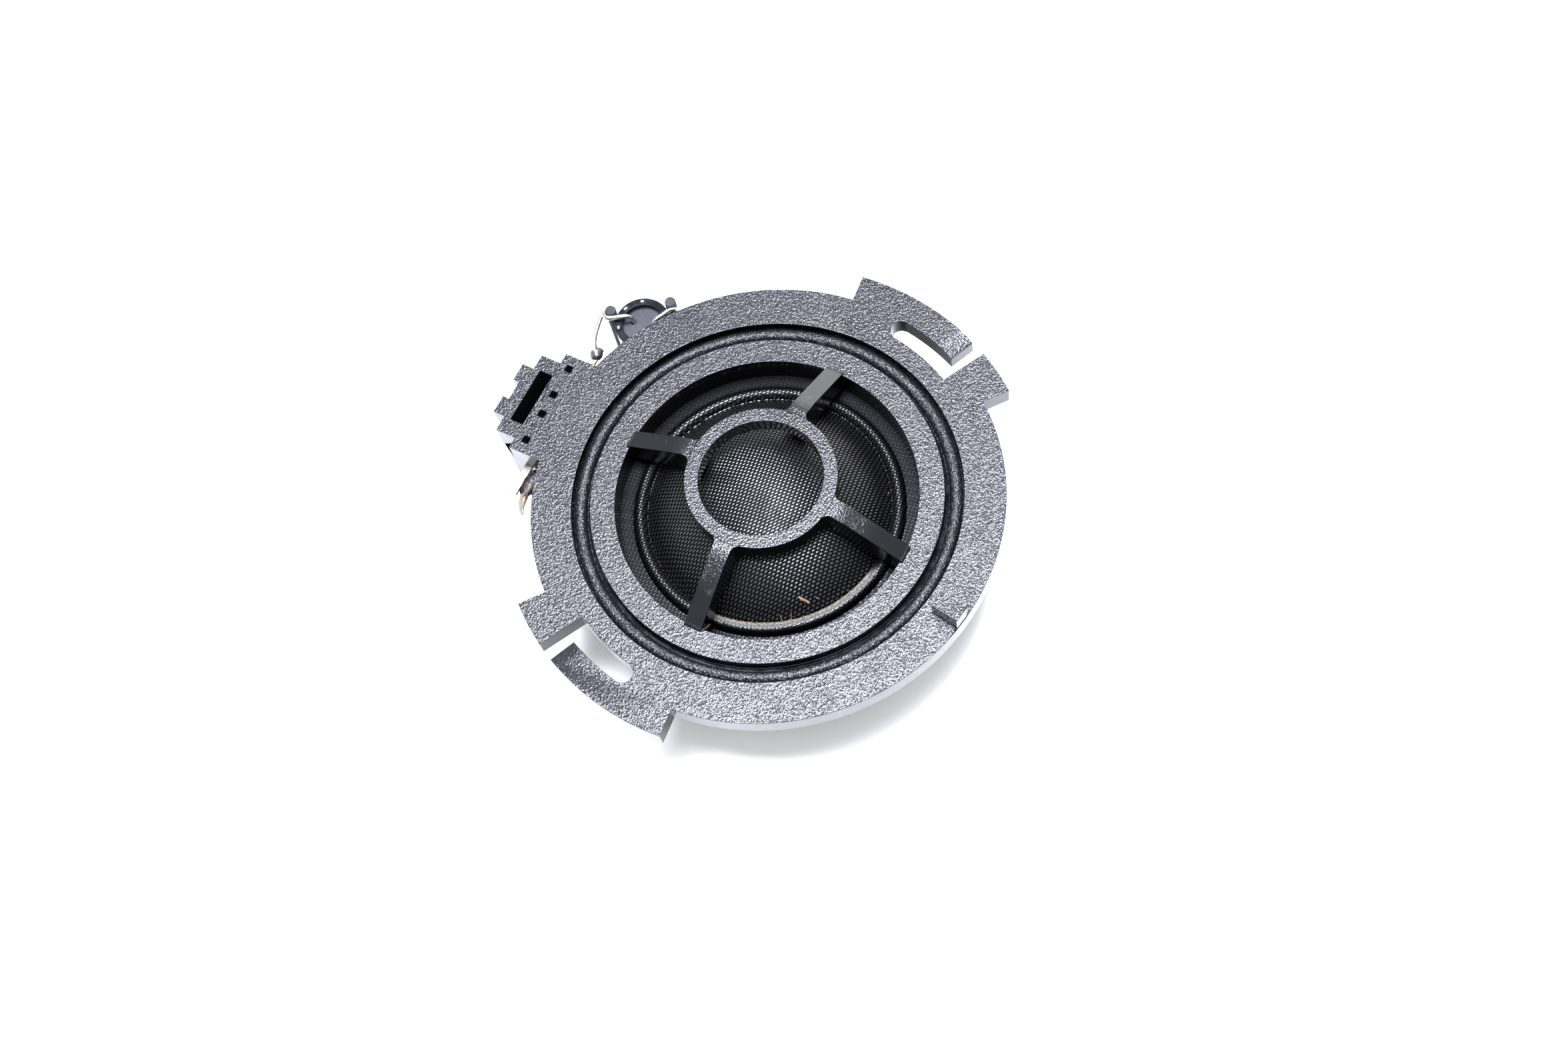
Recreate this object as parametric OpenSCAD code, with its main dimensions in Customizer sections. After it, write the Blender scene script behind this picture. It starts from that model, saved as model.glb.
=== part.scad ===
// Car tweeter, 25 mm soft dome, bayonet flange with side connector and series capacitor.
// Frame: origin on the speaker axis at the flange's back face, +Z the way the dome fires,
// connector towards -X. Millimetres.

/* [Diaphragm] */
// Radius of the dome's foot
dome_r = 12.9; // [11:0.1:15.5]
// Height of the dome above its foot
dome_h = 5.6; // [4.6:0.1:6]
// Thickness of the coated fabric
fabric_t = 0.25; // [0.2:0.01:0.3]
// Width of the half roll that lets the dome move
roll_w = 1.5; // [1.2:0.05:1.8]
// Height of the half roll's crest above the back of the flat fabric
roll_rise = 1.05; // [0.95:0.05:1.25]
// Width of the flat fabric between the roll and the aperture wall
flat_w = 1.5; // [1.2:0.05:1.8]

/* [Flange] */
// Thickness of the flange
flange_t = 2.2; // [1.8:0.1:2.7]
// Width of the raised land between the aperture and the groove
land_w = 2.65; // [2.2:0.05:3.2]
// Width of the sealing groove
groove_w = 2.0; // [1.7:0.05:2.4]
// Depth of the sealing groove
groove_depth = 1.2; // [1:0.05:1.45]
// Radius of the round bead along the groove's floor
bead_r = 0.7; // [0.55:0.05:0.8]
// Depth of the bead's crest below the front face
bead_drop = 0.45; // [0.35:0.05:0.55]
// Width of the rim outside the groove
rim_w = 4.35; // [3.8:0.05:5.2]
// Depth of the aperture wall below the flange's back face
wall_drop = 1.0; // [0.8:0.05:1.2]
// Depth of the rear spigot below the flange's back face
spigot_drop = 2.5; // [2.4:0.1:3]
// Wall of the rear spigot outside the clamp ring
spigot_wall = 2.0; // [1.6:0.1:2.4]

/* [Bayonet] */
// Reach of the tabs and arms past the rim
tab_reach = 3.0; // [2.5:0.1:3.6]
// Width of the slot behind each spring arm
slot_w = 2.2; // [1.8:0.1:2.6]
// Angle at which each narrow tab starts
tab_a0 = 50.2; // [46:0.1:52]
// Angle at which each narrow tab ends
tab_a1 = 61.0; // [58:0.1:62]
// Angle of each spring arm's free tip
arm_a0 = 64.9; // [64:0.1:66]
// Angle at which each spring arm's slot ends
slot_a1 = 82.5; // [78:0.1:84]
// Angle at which each spring arm ends
arm_a1 = 95.1; // [90:0.1:100]
// Length of the ramp on the arm's tip
ramp_l = 1.3; // [1:0.1:1.6]
// Drop of the ramp at the arm's tip
ramp_drop = 0.45; // [0.3:0.05:0.6]
// Angle of the locating key's centre
key_a = 350; // [345:1:355]
// Width of the locating key
key_w = 1.7; // [1.4:0.1:2]
// Length of the locating key along the radius
key_l = 3.1; // [2.6:0.1:3.6]
// Height of the locating key above the front face
key_h = 2.0; // [1.6:0.1:2.4]

/* [Grille] */
// Outer radius of the centre ring
ring_r = 7.95; // [7:0.05:9]
// Width of the centre ring
ring_w = 1.45; // [1.2:0.05:1.75]
// Height of the centre ring's front above the flange's front face
ring_rise = 4.5; // [4.2:0.1:5.4]
// Depth of the centre ring
ring_depth = 2.0; // [1.7:0.1:2.2]
// Width of each spoke
spoke_w = 2.0; // [1.6:0.1:2.4]
// Depth of each spoke at the aperture wall
spoke_depth = 2.7; // [2.2:0.1:2.8]
// Fillet between each spoke and the centre ring
spoke_fillet = 0.8; // [0.5:0.1:1]

/* [Connector] */
// Reach of the widest step past the rim
step1_reach = 3.0; // [2.5:0.1:3.6]
// Length of the middle step
step2_l = 2.4; // [2.1:0.1:2.9]
// Length of the end step
step3_l = 1.4; // [1.2:0.1:1.7]
// Width of the widest step
step1_w = 12.5; // [11.6:0.1:15]
// Width of the middle step
step2_w = 10.0; // [9.6:0.1:11]
// Width of the end step
step3_w = 6.4; // [5.4:0.1:7.6]
// Width of the notch in the end step
notch_w = 2.2; // [1.8:0.1:2.6]
// Depth of the notch in the end step
notch_l = 0.75; // [0.6:0.05:0.9]
// Depth of the housing below the flange's back face
housing_drop = 10.8; // [9.5:0.1:12]
// Width of the socket cavity
socket_w = 8.2; // [7:0.1:8.4]
// Length of the socket cavity along the radius
socket_l = 4.5; // [4.2:0.1:4.6]
// Thickness of the roof between the socket and the flange's back face
roof_t = 1.8; // [1.6:0.1:2.2]
// Width of the latch window
window_w = 6.5; // [5.4:0.1:7.2]
// Length of the latch window along the radius
window_l = 1.55; // [1.3:0.05:1.7]
// Side of the square contact pins
pin_s = 0.63; // [0.5:0.01:0.76]
// Distance between the two contact pins
pin_pitch = 2.54; // [2.2:0.01:3]
// Length of each contact pin below the socket's roof
pin_l = 4.5; // [3.8:0.1:5.2]
// Reach of each solder lug past the housing's side
lug_reach = 3.5; // [3:0.1:4.2]

/* [Motor] */
// Radial gap between the pole plate and the coil former
inner_gap = 0.35; // [0.3:0.01:0.42]
// Radial gap between the winding and the pole cup
outer_gap = 0.33; // [0.28:0.01:0.4]
// Thickness of the pole plate
plate_t = 2.0; // [1.7:0.1:2.4]
// Thickness of the magnet
magnet_t = 4.5; // [3.8:0.1:5.4]
// Thickness of the pole cup's base
cup_base_t = 2.1; // [1.8:0.1:2.5]
// Wall of the pole cup
cup_wall = 2.05; // [1.7:0.05:2.4]
// Length of the voice coil winding
winding_l = 2.3; // [1.9:0.1:2.7]
// Thickness of the voice coil winding
winding_t = 0.25; // [0.2:0.01:0.3]

/* [Carrier] */
// Wall of the rear carrier's barrel
barrel_wall = 1.2; // [1:0.1:1.5]
// Thickness of the carrier's floor
floor_t = 1.5; // [1.25:0.05:1.8]
// Thickness of the carrier's joint flange
joint_t = 1.2; // [1:0.1:1.5]
// Diameter of the two posts beside the capacitor
post_d = 1.15; // [0.96:0.01:1.38]

/* [Capacitor] */
// Diameter of the capacitor over its sleeve
cap_d = 6.2; // [5.2:0.1:6.4]
// Length of the capacitor
cap_l = 11.0; // [9.2:0.1:13.2]
// Distance between the capacitor's leads
lead_pitch = 2.5; // [2:0.1:3]
// Diameter of the capacitor's leads
lead_d = 0.5; // [0.42:0.01:0.6]

/* [Hidden] */
$fn = 96;
eps = 0.01;

plastic_dark = "#2b2d33";
fabric_black = "#17181c";
steel_grey = "#8d9094";
copper = "#b3683a";
tin = "#c9ccd0";

// Rings from the dome outwards
seam_w = 0.1;
roll_r0 = dome_r + seam_w;
roll_r1 = roll_r0 + roll_w;
aperture_r = roll_r1 + flat_w;
groove_r0 = aperture_r + land_w;
groove_r1 = groove_r0 + groove_w;
flange_r = groove_r1 + rim_w;
tab_r = flange_r + tab_reach;

// The flat edge of the fabric is held between the frame's shoulder and the clamp ring
fit_gap = 0.05;
seat_depth_r = 1.0;
seat_r = aperture_r + seat_depth_r;
spigot_r = seat_r + spigot_wall;
fabric_z = -wall_drop - fabric_t;
ring_bottom_z = -spigot_drop;

// Dome: a spherical cap whose foot is level with the fabric's front
foot_z = fabric_z + fabric_t + 0.15;
cap_r = (dome_r * dome_r + dome_h * dome_h) / (2 * dome_h);
cap_z = foot_z + dome_h - cap_r;

// Coil and motor
former_t = 0.2;
former_r1 = dome_r - 0.15;
former_r0 = former_r1 - former_t;
former_top_z = cap_z + sqrt(pow(cap_r - fabric_t, 2) - pow(former_r1, 2)) - 0.02;
plate_r = former_r0 - inner_gap;
cup_r0 = former_r1 + fit_gap / 2 + winding_t + outer_gap;
cup_r1 = cup_r0 + cup_wall;
plate_top_z = ring_bottom_z - 0.4;
plate_bottom_z = plate_top_z - plate_t;
magnet_bottom_z = plate_bottom_z - magnet_t;
cup_back_z = magnet_bottom_z - cup_base_t;
winding_z = (plate_top_z + plate_bottom_z) / 2 - winding_l / 2;
former_bottom_z = winding_z - 0.5;
magnet_r = plate_r - 0.5;
felt_t = 1.0;
felt_r = plate_r - 0.9;

// Capacitor stands between its two posts, just outside the rim and behind it
cap_a = 148.65;
cap_off = 2.21;
cap_x = (flange_r + cap_off) * cos(cap_a);
cap_y = (flange_r + cap_off) * sin(cap_a);
cap_top_z = -0.25;
bung_drop = 0.7;
sleeve_t = 0.12;
can_t = 0.25;
cap_back_z = cap_top_z - cap_l;
post_top_z = 0.5;
post_gap = 0.1;
post_arm = cap_d / 2 + post_d / 2 + post_gap;
post_angles = [186, 60];
lead_gap = 0.09;
lead_hole_d = lead_d + 0.06;

// Carrier reaches down past both the motor and the capacitor
back_z = min(cup_back_z, cap_back_z) - floor_t;
barrel_r0 = cup_r1 + 0.15;
barrel_r1 = barrel_r0 + barrel_wall;
joint_z = ring_bottom_z - joint_t;
floor_hole_r = 9;
cradle_wall = 0.4;

// Connector, measured along -X from the axis
step1_u = flange_r + step1_reach;
step2_u = step1_u + step2_l;
step3_u = step2_u + step3_l;
socket_u1 = step2_u - 0.75;
socket_u0 = socket_u1 - socket_l;
housing_u0 = socket_u0 - 1.1;
window_u0 = step1_u + 0.05;
pin_u = socket_u0 + 1.6;
pinhole_s = 0.8;
pinhole_v = 4.7;
pinhole_depth = 1.6;
mould_line_z = -1.0;
mould_step = 0.1;

// Terminals: a pin down the socket, a bar through the roof, a lug outside the housing
bar_t = 0.4;
bar_w = 0.9;
bar_z = -1.3;
bar_u = pin_u - 0.35;
lug_y = step1_w / 2 + lug_reach;

// Wire exits through the spigot
exit_a = [197, 140];
exit_w = 1.1;
exit_h = 0.9;
wire_d = 0.3;
wire_z = ring_bottom_z + exit_h / 2;

module tube(r0, r1, z0, z1) {
    difference() {
        translate([0, 0, z0])
            cylinder(r = r1, h = z1 - z0);
        translate([0, 0, z0 - 1])
            cylinder(r = r0, h = z1 - z0 + 2);
    }
}

module disc(r, z0, z1) {
    translate([0, 0, z0])
        cylinder(r = r, h = z1 - z0);
}

// A block on the connector's side: u along -X, v along Y
module block(u0, u1, v0, v1, z0, z1) {
    translate([-u1, v0, z0])
        cube([u1 - u0, v1 - v0, z1 - z0]);
}

// Wires: a smooth route through a few points, swept with a round section
function mix(a, b, t) = a * (1 - t) + b * t;
function spline(p, i, t) =
    let (a = p[max(i - 1, 0)], b = p[i], c = p[i + 1], d = p[min(i + 2, len(p) - 1)])
    0.5 * ((2 * b) + (c - a) * t + (2 * a - 5 * b + 4 * c - d) * t * t
           + (3 * b - a - 3 * c + d) * t * t * t);
function route(p, steps) =
    concat([for (i = [0 : len(p) - 2], s = [0 : steps - 1]) spline(p, i, s / steps)],
           [p[len(p) - 1]]);
function unit(v) = v / norm(v);
function heading(p, i) = unit(p[min(i + 1, len(p) - 1)] - p[max(i - 1, 0)]);

module wire(points, d, steps = 4, sides = 8, side_ref = [0.31, 0.17, 0.93]) {
    path = route(points, steps);
    rings = [for (i = [0 : len(path) - 1])
        let (t = heading(path, i), u = unit(cross(t, side_ref)), v = cross(t, u))
        for (k = [0 : sides - 1])
            path[i] + d / 2 * (u * cos(360 * k / sides) + v * sin(360 * k / sides))];
    last = (len(path) - 1) * sides;
    walls = [for (i = [0 : len(path) - 2], k = [0 : sides - 1])
        let (a = i * sides + k, b = i * sides + (k + 1) % sides)
        [a, b, b + sides, a + sides]];
    ends = [[for (k = [sides - 1 : -1 : 0]) k], [for (k = [0 : sides - 1]) last + k]];
    polyhedron(rings, concat(walls, ends), convexity = 6);
}

function ring_point(r, a, z) = [r * cos(a), r * sin(a), z];
function post_at(i) = [cap_x + post_arm * cos(post_angles[i]), cap_y + post_arm * sin(post_angles[i])];
function near_cap(dx, dy, z) = [cap_x + dx, cap_y + dy, z];
function near_post(i, a, z) =
    [post_at(i)[0] + ((post_d + lead_d) / 2 + lead_gap) * cos(a),
     post_at(i)[1] + ((post_d + lead_d) / 2 + lead_gap) * sin(a), z];

// Steps of the connector, seen from the front
module connector_outline(grow = 0) {
    difference() {
        union() {
            translate([-step1_u - grow, -step1_w / 2 - grow])
                square([step1_u + grow - housing_u0, step1_w + 2 * grow]);
            translate([-step2_u - grow, -step2_w / 2 - grow])
                square([step2_u + grow - housing_u0, step2_w + 2 * grow]);
            translate([-step3_u - grow, -step3_w / 2 - grow])
                square([step3_u + grow - housing_u0, step3_w + 2 * grow]);
        }
        translate([-step3_u - 1, -notch_w / 2])
            square([notch_l + 1, notch_w]);
    }
}

// A ring sector seen from the front
module sector(r0, r1, a0, a1) {
    far = 2 * r1;
    intersection() {
        difference() {
            circle(r1);
            circle(r0);
        }
        polygon([[0, 0], [far * cos(a0), far * sin(a0)], [far * cos(a1), far * sin(a1)]]);
    }
}

// Slot behind one spring arm, with a round end, and the gap in front of its tip
module slot_outline() {
    slot_r = flange_r - slot_w / 2;
    end_a = slot_a1 - asin(slot_w / 2 / slot_r);
    sector(flange_r - slot_w, flange_r, tab_a1, end_a + 0.4);
    sector(flange_r - slot_w, tab_r + 1, tab_a1, arm_a0);
    translate([slot_r * cos(end_a), slot_r * sin(end_a)])
        circle(slot_w * 0.49);
}

module flange_outline() {
    difference() {
        union() {
            circle(flange_r);
            for (a = [0, 180])
                rotate(a) {
                    sector(flange_r - 1, tab_r, tab_a0, tab_a1);
                    sector(flange_r - 1, tab_r, arm_a0, arm_a1);
                }
        }
        circle(aperture_r);
        for (a = [0, 180])
            rotate(a)
                slot_outline();
    }
}

// Sloping cut on one arm's tip
module ramp_cut() {
    rotate([0, 0, arm_a0])
        translate([flange_r - slot_w / 2, ramp_l, flange_t])
            rotate([atan(ramp_drop / ramp_l), 0, 0])
                translate([0, -2 * ramp_l, 0])
                    cube([tab_reach + slot_w, 2 * ramp_l, 2]);
}

// One spoke seen from the front, with its fillets into the ring
module spoke_outline() {
    corner_y = spoke_w / 2 + spoke_fillet;
    corner_x = sqrt(pow(ring_r + spoke_fillet, 2) - corner_y * corner_y);
    a0 = 180 + atan2(corner_y, corner_x);
    arc = [for (i = [0 : 6])
        let (a = a0 + (270 - a0) * i / 6, inward = i == 0 ? 0.995 : 1)
        inward * [corner_x + spoke_fillet * cos(a), corner_y + spoke_fillet * sin(a)]];
    half = concat([[ring_r - ring_w / 2, corner_y * 0.8]], arc, [[aperture_r + 0.3, spoke_w / 2]]);
    polygon(concat(half, [for (i = [len(half) - 1 : -1 : 0]) [half[i][0], -half[i][1]]]));
}

module spoke() {
    top_z = flange_t + ring_rise;
    lip = ring_r - ring_w / 2;
    side = spoke_w / 2 + spoke_fillet + 1;
    intersection() {
        linear_extrude(top_z + 1)
            spoke_outline();
        rotate([90, 0, 0])
            translate([0, 0, -side])
                linear_extrude(2 * side)
                    polygon([[lip - 1, top_z],
                             [ring_r + 0.7, top_z - 0.08],
                             [ring_r + 2, top_z - 0.65],
                             [aperture_r + 1, flange_t - 0.25],
                             [aperture_r + 1, flange_t - spoke_depth],
                             [lip - 1, top_z - ring_depth - 0.2]]);
    }
}

module grille() {
    top_z = flange_t + ring_rise;
    tube(ring_r - ring_w, ring_r, top_z - ring_depth, top_z);
    for (a = [0 : 90 : 270])
        rotate([0, 0, a])
            spoke();
}

module front_frame() {
    color(plastic_dark) {
        difference() {
            union() {
                linear_extrude(flange_t)
                    flange_outline();
                tube(aperture_r, spigot_r, -wall_drop, eps);
                tube(seat_r, spigot_r, -spigot_drop, -wall_drop + eps);
                translate([0, 0, mould_line_z])
                    linear_extrude(flange_t - mould_line_z)
                        connector_outline();
                translate([0, 0, -housing_drop])
                    linear_extrude(housing_drop + mould_line_z + eps)
                        connector_outline(-mould_step);
            }
            tube(groove_r0, groove_r1, flange_t - groove_depth, flange_t + 1);
            for (a = [0, 180])
                rotate([0, 0, a])
                    ramp_cut();
            block(socket_u0, socket_u1, -socket_w / 2, socket_w / 2, -housing_drop - 1, -roof_t);
            block(window_u0, window_u0 + window_l, -window_w / 2, window_w / 2,
                  -roof_t - 1, flange_t + 1);
            for (v = [-pinhole_v, -pin_pitch / 2, pin_pitch / 2, pinhole_v])
                block(pin_u - pinhole_s / 2, pin_u + pinhole_s / 2,
                      v - pinhole_s / 2, v + pinhole_s / 2,
                      flange_t - pinhole_depth, flange_t + 1);
            for (a = exit_a)
                rotate([0, 0, a])
                    translate([aperture_r, -exit_w / 2, -spigot_drop - 1])
                        cube([spigot_r, exit_w, exit_h + 1]);
            terminal_solid(1);
            terminal_solid(-1);
        }
        rotate_extrude()
            translate([groove_r0 + groove_w * 0.58, flange_t - bead_drop - bead_r])
                circle(bead_r);
        rotate([0, 0, key_a])
            translate([flange_r - key_l - 0.05, -key_w / 2, flange_t - eps])
                cube([key_l, key_w, key_h + eps]);
        grille();
    }
}

module dome() {
    color(fabric_black)
        difference() {
            intersection() {
                translate([0, 0, cap_z])
                    sphere(r = cap_r);
                translate([0, 0, foot_z - 1])
                    cylinder(r = dome_r, h = dome_h + 2);
            }
            translate([0, 0, cap_z])
                sphere(r = cap_r - fabric_t);
        }
}

// Flat edge, half roll on two short legs, and the lip that meets the dome's foot
module surround() {
    mid_r = (roll_r0 + roll_r1) / 2;
    leg_top_z = fabric_z + roll_rise - roll_w / 2;
    color(fabric_black) {
        tube(roll_r1 - fabric_t, seat_r - fit_gap, fabric_z, fabric_z + fabric_t);
        tube(roll_r1 - fabric_t, roll_r1, fabric_z, leg_top_z + eps);
        rotate_extrude()
            translate([mid_r, leg_top_z])
                intersection() {
                    difference() {
                        circle(roll_w / 2);
                        circle(roll_w / 2 - fabric_t);
                    }
                    translate([-roll_w, 0])
                        square([2 * roll_w, roll_w]);
                }
        tube(dome_r + 0.02, roll_r0 + fabric_t, fabric_z, foot_z);
        tube(roll_r0, roll_r0 + fabric_t, fabric_z, leg_top_z + eps);
    }
}

module clamp_ring() {
    color(plastic_dark)
        difference() {
            tube(roll_r1 + 0.2, seat_r - fit_gap, ring_bottom_z, fabric_z);
            for (a = exit_a)
                rotate([0, 0, a])
                    translate([roll_r1 - 1, -exit_w / 2, ring_bottom_z - 1])
                        cube([seat_r, exit_w, exit_h + 1]);
        }
}

module coil_former() {
    color("#c8b27a")
        tube(former_r0, former_r1, former_bottom_z, former_top_z);
}

module coil_winding() {
    color(copper)
        tube(former_r1 + fit_gap / 2, former_r1 + fit_gap / 2 + winding_t,
             winding_z, winding_z + winding_l);
}

module damping_felt() {
    color("#3a3a3c")
        disc(felt_r, plate_top_z, plate_top_z + felt_t);
}

module pole_plate() {
    color(steel_grey)
        disc(plate_r, plate_bottom_z, plate_top_z);
}

module magnet() {
    color("#a5a8ac")
        disc(magnet_r, magnet_bottom_z, plate_bottom_z);
}

module pole_cup() {
    color(steel_grey) {
        disc(cup_r1, cup_back_z, magnet_bottom_z);
        tube(cup_r0, cup_r1, magnet_bottom_z - eps, ring_bottom_z);
    }
}

// Barrel round the motor, with a shelf and two posts for the capacitor
module rear_carrier() {
    color(plastic_dark) {
        difference() {
            union() {
                disc(barrel_r1, back_z, ring_bottom_z);
                disc(spigot_r, joint_z, ring_bottom_z);
                capacitor_shelf();
            }
            disc(barrel_r0, cup_back_z, 1);
            disc(floor_hole_r, back_z - 1, cup_back_z + 1);
        }
        for (i = [0, 1])
            translate([post_at(i)[0], post_at(i)[1], back_z])
                cylinder(d = post_d, h = post_top_z - back_z);
    }
}

module capacitor_shelf() {
    shelf_h = cap_back_z - back_z;
    translate([cap_x, cap_y, back_z])
        cylinder(d = cap_d + 2 * cradle_wall, h = shelf_h);
    for (i = [0, 1])
        translate([post_at(i)[0], post_at(i)[1], back_z])
            cylinder(d = post_d + 2 * cradle_wall, h = shelf_h);
    rotate([0, 0, cap_a])
        translate([barrel_r0 + barrel_wall / 2, -cap_d / 2, back_z])
            cube([flange_r + cap_off - barrel_r0, cap_d, shelf_h]);
}

// side is 1 for +Y and -1 for -Y
module terminal_solid(side) {
    y0 = pin_pitch / 2 - pin_s / 2;
    scale_y = side > 0 ? 0 : 1;
    mirror([0, scale_y, 0]) {
        block(pin_u - pin_s / 2, pin_u + pin_s / 2, y0, y0 + pin_s,
              -roof_t - pin_l, bar_z + bar_t / 2);
        block(bar_u - bar_w / 2, bar_u + bar_w / 2, y0, lug_y,
              bar_z - bar_t / 2, bar_z + bar_t / 2);
    }
}

module terminal_1() {
    color(tin)
        terminal_solid(-1);
}

module terminal_2() {
    color(tin)
        terminal_solid(1);
}

module at_cap(z) {
    translate([cap_x, cap_y, z])
        children();
}

module capacitor_can() {
    can_r = cap_d / 2 - sleeve_t;
    color("#b9bcc0")
        at_cap(cap_back_z)
            difference() {
                cylinder(r = can_r, h = cap_l - sleeve_t);
                translate([0, 0, cap_l - sleeve_t - bung_drop - 1.8])
                    cylinder(r = can_r - can_t, h = bung_drop + 3);
            }
}

module capacitor_bung() {
    color("#4a4c52")
        at_cap(cap_top_z - bung_drop - 1.8)
            difference() {
                cylinder(r = cap_d / 2 - sleeve_t - can_t - 0.01, h = 1.7);
                for (s = [-1, 1])
                    translate([s * lead_pitch / 2, 0, 0.6])
                        cylinder(d = lead_hole_d, h = 3);
            }
}

module capacitor_sleeve() {
    lip_w = 0.85;
    color("#1b1c20")
        at_cap(cap_back_z) {
            difference() {
                cylinder(d = cap_d, h = cap_l);
                translate([0, 0, -1])
                    cylinder(r = cap_d / 2 - sleeve_t + 0.01, h = cap_l + 1 - sleeve_t + 0.01);
                cylinder(r = cap_d / 2 - lip_w, h = cap_l + 1);
            }
        }
}

bung_top_z = cap_top_z - bung_drop - 0.1;
lead_over_z = cap_top_z + lead_d / 2 + 0.2;

module capacitor_lead_1() {
    color(tin)
        wire([near_cap(-lead_pitch / 2, 0, bung_top_z - 1.0),
              near_cap(-lead_pitch / 2, 0, bung_top_z + 0.3),
              near_cap(-lead_pitch / 2 - 0.5, -0.25, lead_over_z),
              near_post(0, 300, lead_over_z + 0.1),
              near_post(0, 255, lead_over_z + 0.05),
              near_post(0, 205, lead_over_z - 0.2),
              [-bar_u - 0.9, step1_w / 2 + 4.2, bar_z + 0.9],
              [-bar_u, lug_y - 1.0, bar_z + bar_t / 2 + lead_d / 2]],
             lead_d);
}

module capacitor_lead_2() {
    color(tin)
        wire([near_cap(lead_pitch / 2, 0, bung_top_z - 1.0),
              near_cap(lead_pitch / 2, 0, bung_top_z + 0.3),
              near_cap(lead_pitch / 2 + 0.1, 0.7, lead_over_z - 0.1),
              near_post(1, 235, lead_over_z),
              near_post(1, 290, lead_over_z - 0.2),
              near_post(1, 345, lead_over_z - 0.8),
              near_post(1, 355, lead_over_z - 2.2)],
             lead_d);
}

module lead_out_wire_1() {
    color(copper)
        wire([ring_point(roll_r1 - 0.6, exit_a[0], wire_z),
              ring_point(seat_r, exit_a[0], wire_z),
              ring_point(spigot_r + 1.2, exit_a[0], wire_z),
              [-bar_u + 2.4, -lug_y + 0.7, wire_z + 0.25],
              [-bar_u, -lug_y + 0.4, bar_z - bar_t / 2 - wire_d / 2]],
             wire_d);
}

module lead_out_wire_2() {
    color(copper)
        wire([ring_point(roll_r1 - 0.6, exit_a[1], wire_z),
              ring_point(seat_r, exit_a[1], wire_z),
              ring_point(spigot_r + 1.2, exit_a[1], wire_z),
              ring_point(flange_r - 2.4, exit_a[1] - 1.5, wire_z),
              near_post(1, 335, lead_over_z - 2.0)],
             wire_d);
}

module blob(p, r) {
    translate(p)
        sphere(r = r, $fn = 32);
}

module solder_joint_1() {
    color(tin)
        blob([-bar_u, -lug_y + 0.5, bar_z], 0.75);
}

module solder_joint_2() {
    color(tin)
        blob([-bar_u, lug_y - 0.8, bar_z + 0.1], 0.75);
}

module solder_joint_3() {
    color(tin)
        blob(near_post(1, 345, lead_over_z - 2.0), 0.5);
}

front_frame();
dome();
surround();
clamp_ring();
coil_former();
coil_winding();
damping_felt();
pole_plate();
magnet();
pole_cup();
rear_carrier();
terminal_1();
terminal_2();
capacitor_can();
capacitor_bung();
capacitor_sleeve();
capacitor_lead_1();
capacitor_lead_2();
lead_out_wire_1();
lead_out_wire_2();
solder_joint_1();
solder_joint_2();
solder_joint_3();
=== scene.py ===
import math
import random

import bmesh
import bpy
import numpy as np
from mathutils import Matrix, Vector


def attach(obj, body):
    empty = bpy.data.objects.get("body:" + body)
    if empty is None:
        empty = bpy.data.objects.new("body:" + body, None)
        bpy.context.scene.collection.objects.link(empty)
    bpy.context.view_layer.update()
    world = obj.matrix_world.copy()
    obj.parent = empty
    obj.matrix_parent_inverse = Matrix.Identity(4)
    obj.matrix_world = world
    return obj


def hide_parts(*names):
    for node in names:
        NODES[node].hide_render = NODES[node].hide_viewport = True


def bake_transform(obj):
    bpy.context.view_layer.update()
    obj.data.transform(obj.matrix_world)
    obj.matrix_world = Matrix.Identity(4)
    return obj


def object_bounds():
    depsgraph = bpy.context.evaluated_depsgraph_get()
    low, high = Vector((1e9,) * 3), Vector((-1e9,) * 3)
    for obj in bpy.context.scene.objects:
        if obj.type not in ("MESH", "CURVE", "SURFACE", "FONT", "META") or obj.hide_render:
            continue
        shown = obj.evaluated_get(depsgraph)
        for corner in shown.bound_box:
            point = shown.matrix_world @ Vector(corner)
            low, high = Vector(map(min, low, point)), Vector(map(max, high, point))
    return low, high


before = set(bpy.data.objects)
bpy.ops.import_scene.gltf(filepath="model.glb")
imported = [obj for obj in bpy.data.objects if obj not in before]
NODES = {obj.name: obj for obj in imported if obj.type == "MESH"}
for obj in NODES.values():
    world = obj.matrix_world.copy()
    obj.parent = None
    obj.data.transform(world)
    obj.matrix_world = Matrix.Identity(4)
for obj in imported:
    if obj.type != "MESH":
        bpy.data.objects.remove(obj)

CAD_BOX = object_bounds()
MM = 0.001

# Sizes of the CAD shapes that the looks refer to, in millimetres.
FLANGE_TOP = 2.2
GUARD_RING_R, LAND_INNER_R, GROOVE_OUTER_R = 8.2, 16.0, 20.65
BEAD_R0, BEAD_R1 = 18.8, 20.5
DOME_R, DOME_CENTRE_Z, DOME_SPHERE_R = 12.9, -12.9091, 17.6586
ROLL_R0, ROLL_R1, ROLL_MID, ROLL_HALF = 13.0, 14.5, 13.75, 0.75
CLOTH_FRONT_Z, LEG_TOP_Z, APERTURE_EDGE, CLOTH_T = -1.0, -0.95, 16.95, 0.25
CAP = (-23.24, 14.16)
BAR_U, LUG_Y, BAR_Z = 26.4, 9.75, -1.3
POST_D, POST_REACH, POST_ANGLES = 1.15, 3.775, (186, 60)
POST_SKIN_R = 0.63
LEAD_R, LEAD_OUT_R = 0.25, 0.15

# The cloth's two thread directions, in turns per millimetre, and the share of each wave in its relief.
WEAVE_A = (2.44, 0.37)
WEAVE_B = (0.38, -2.51)
SHARE_A, SHARE_B, SHARE_SUM = 0.33, 0.2, 0.42

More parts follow.
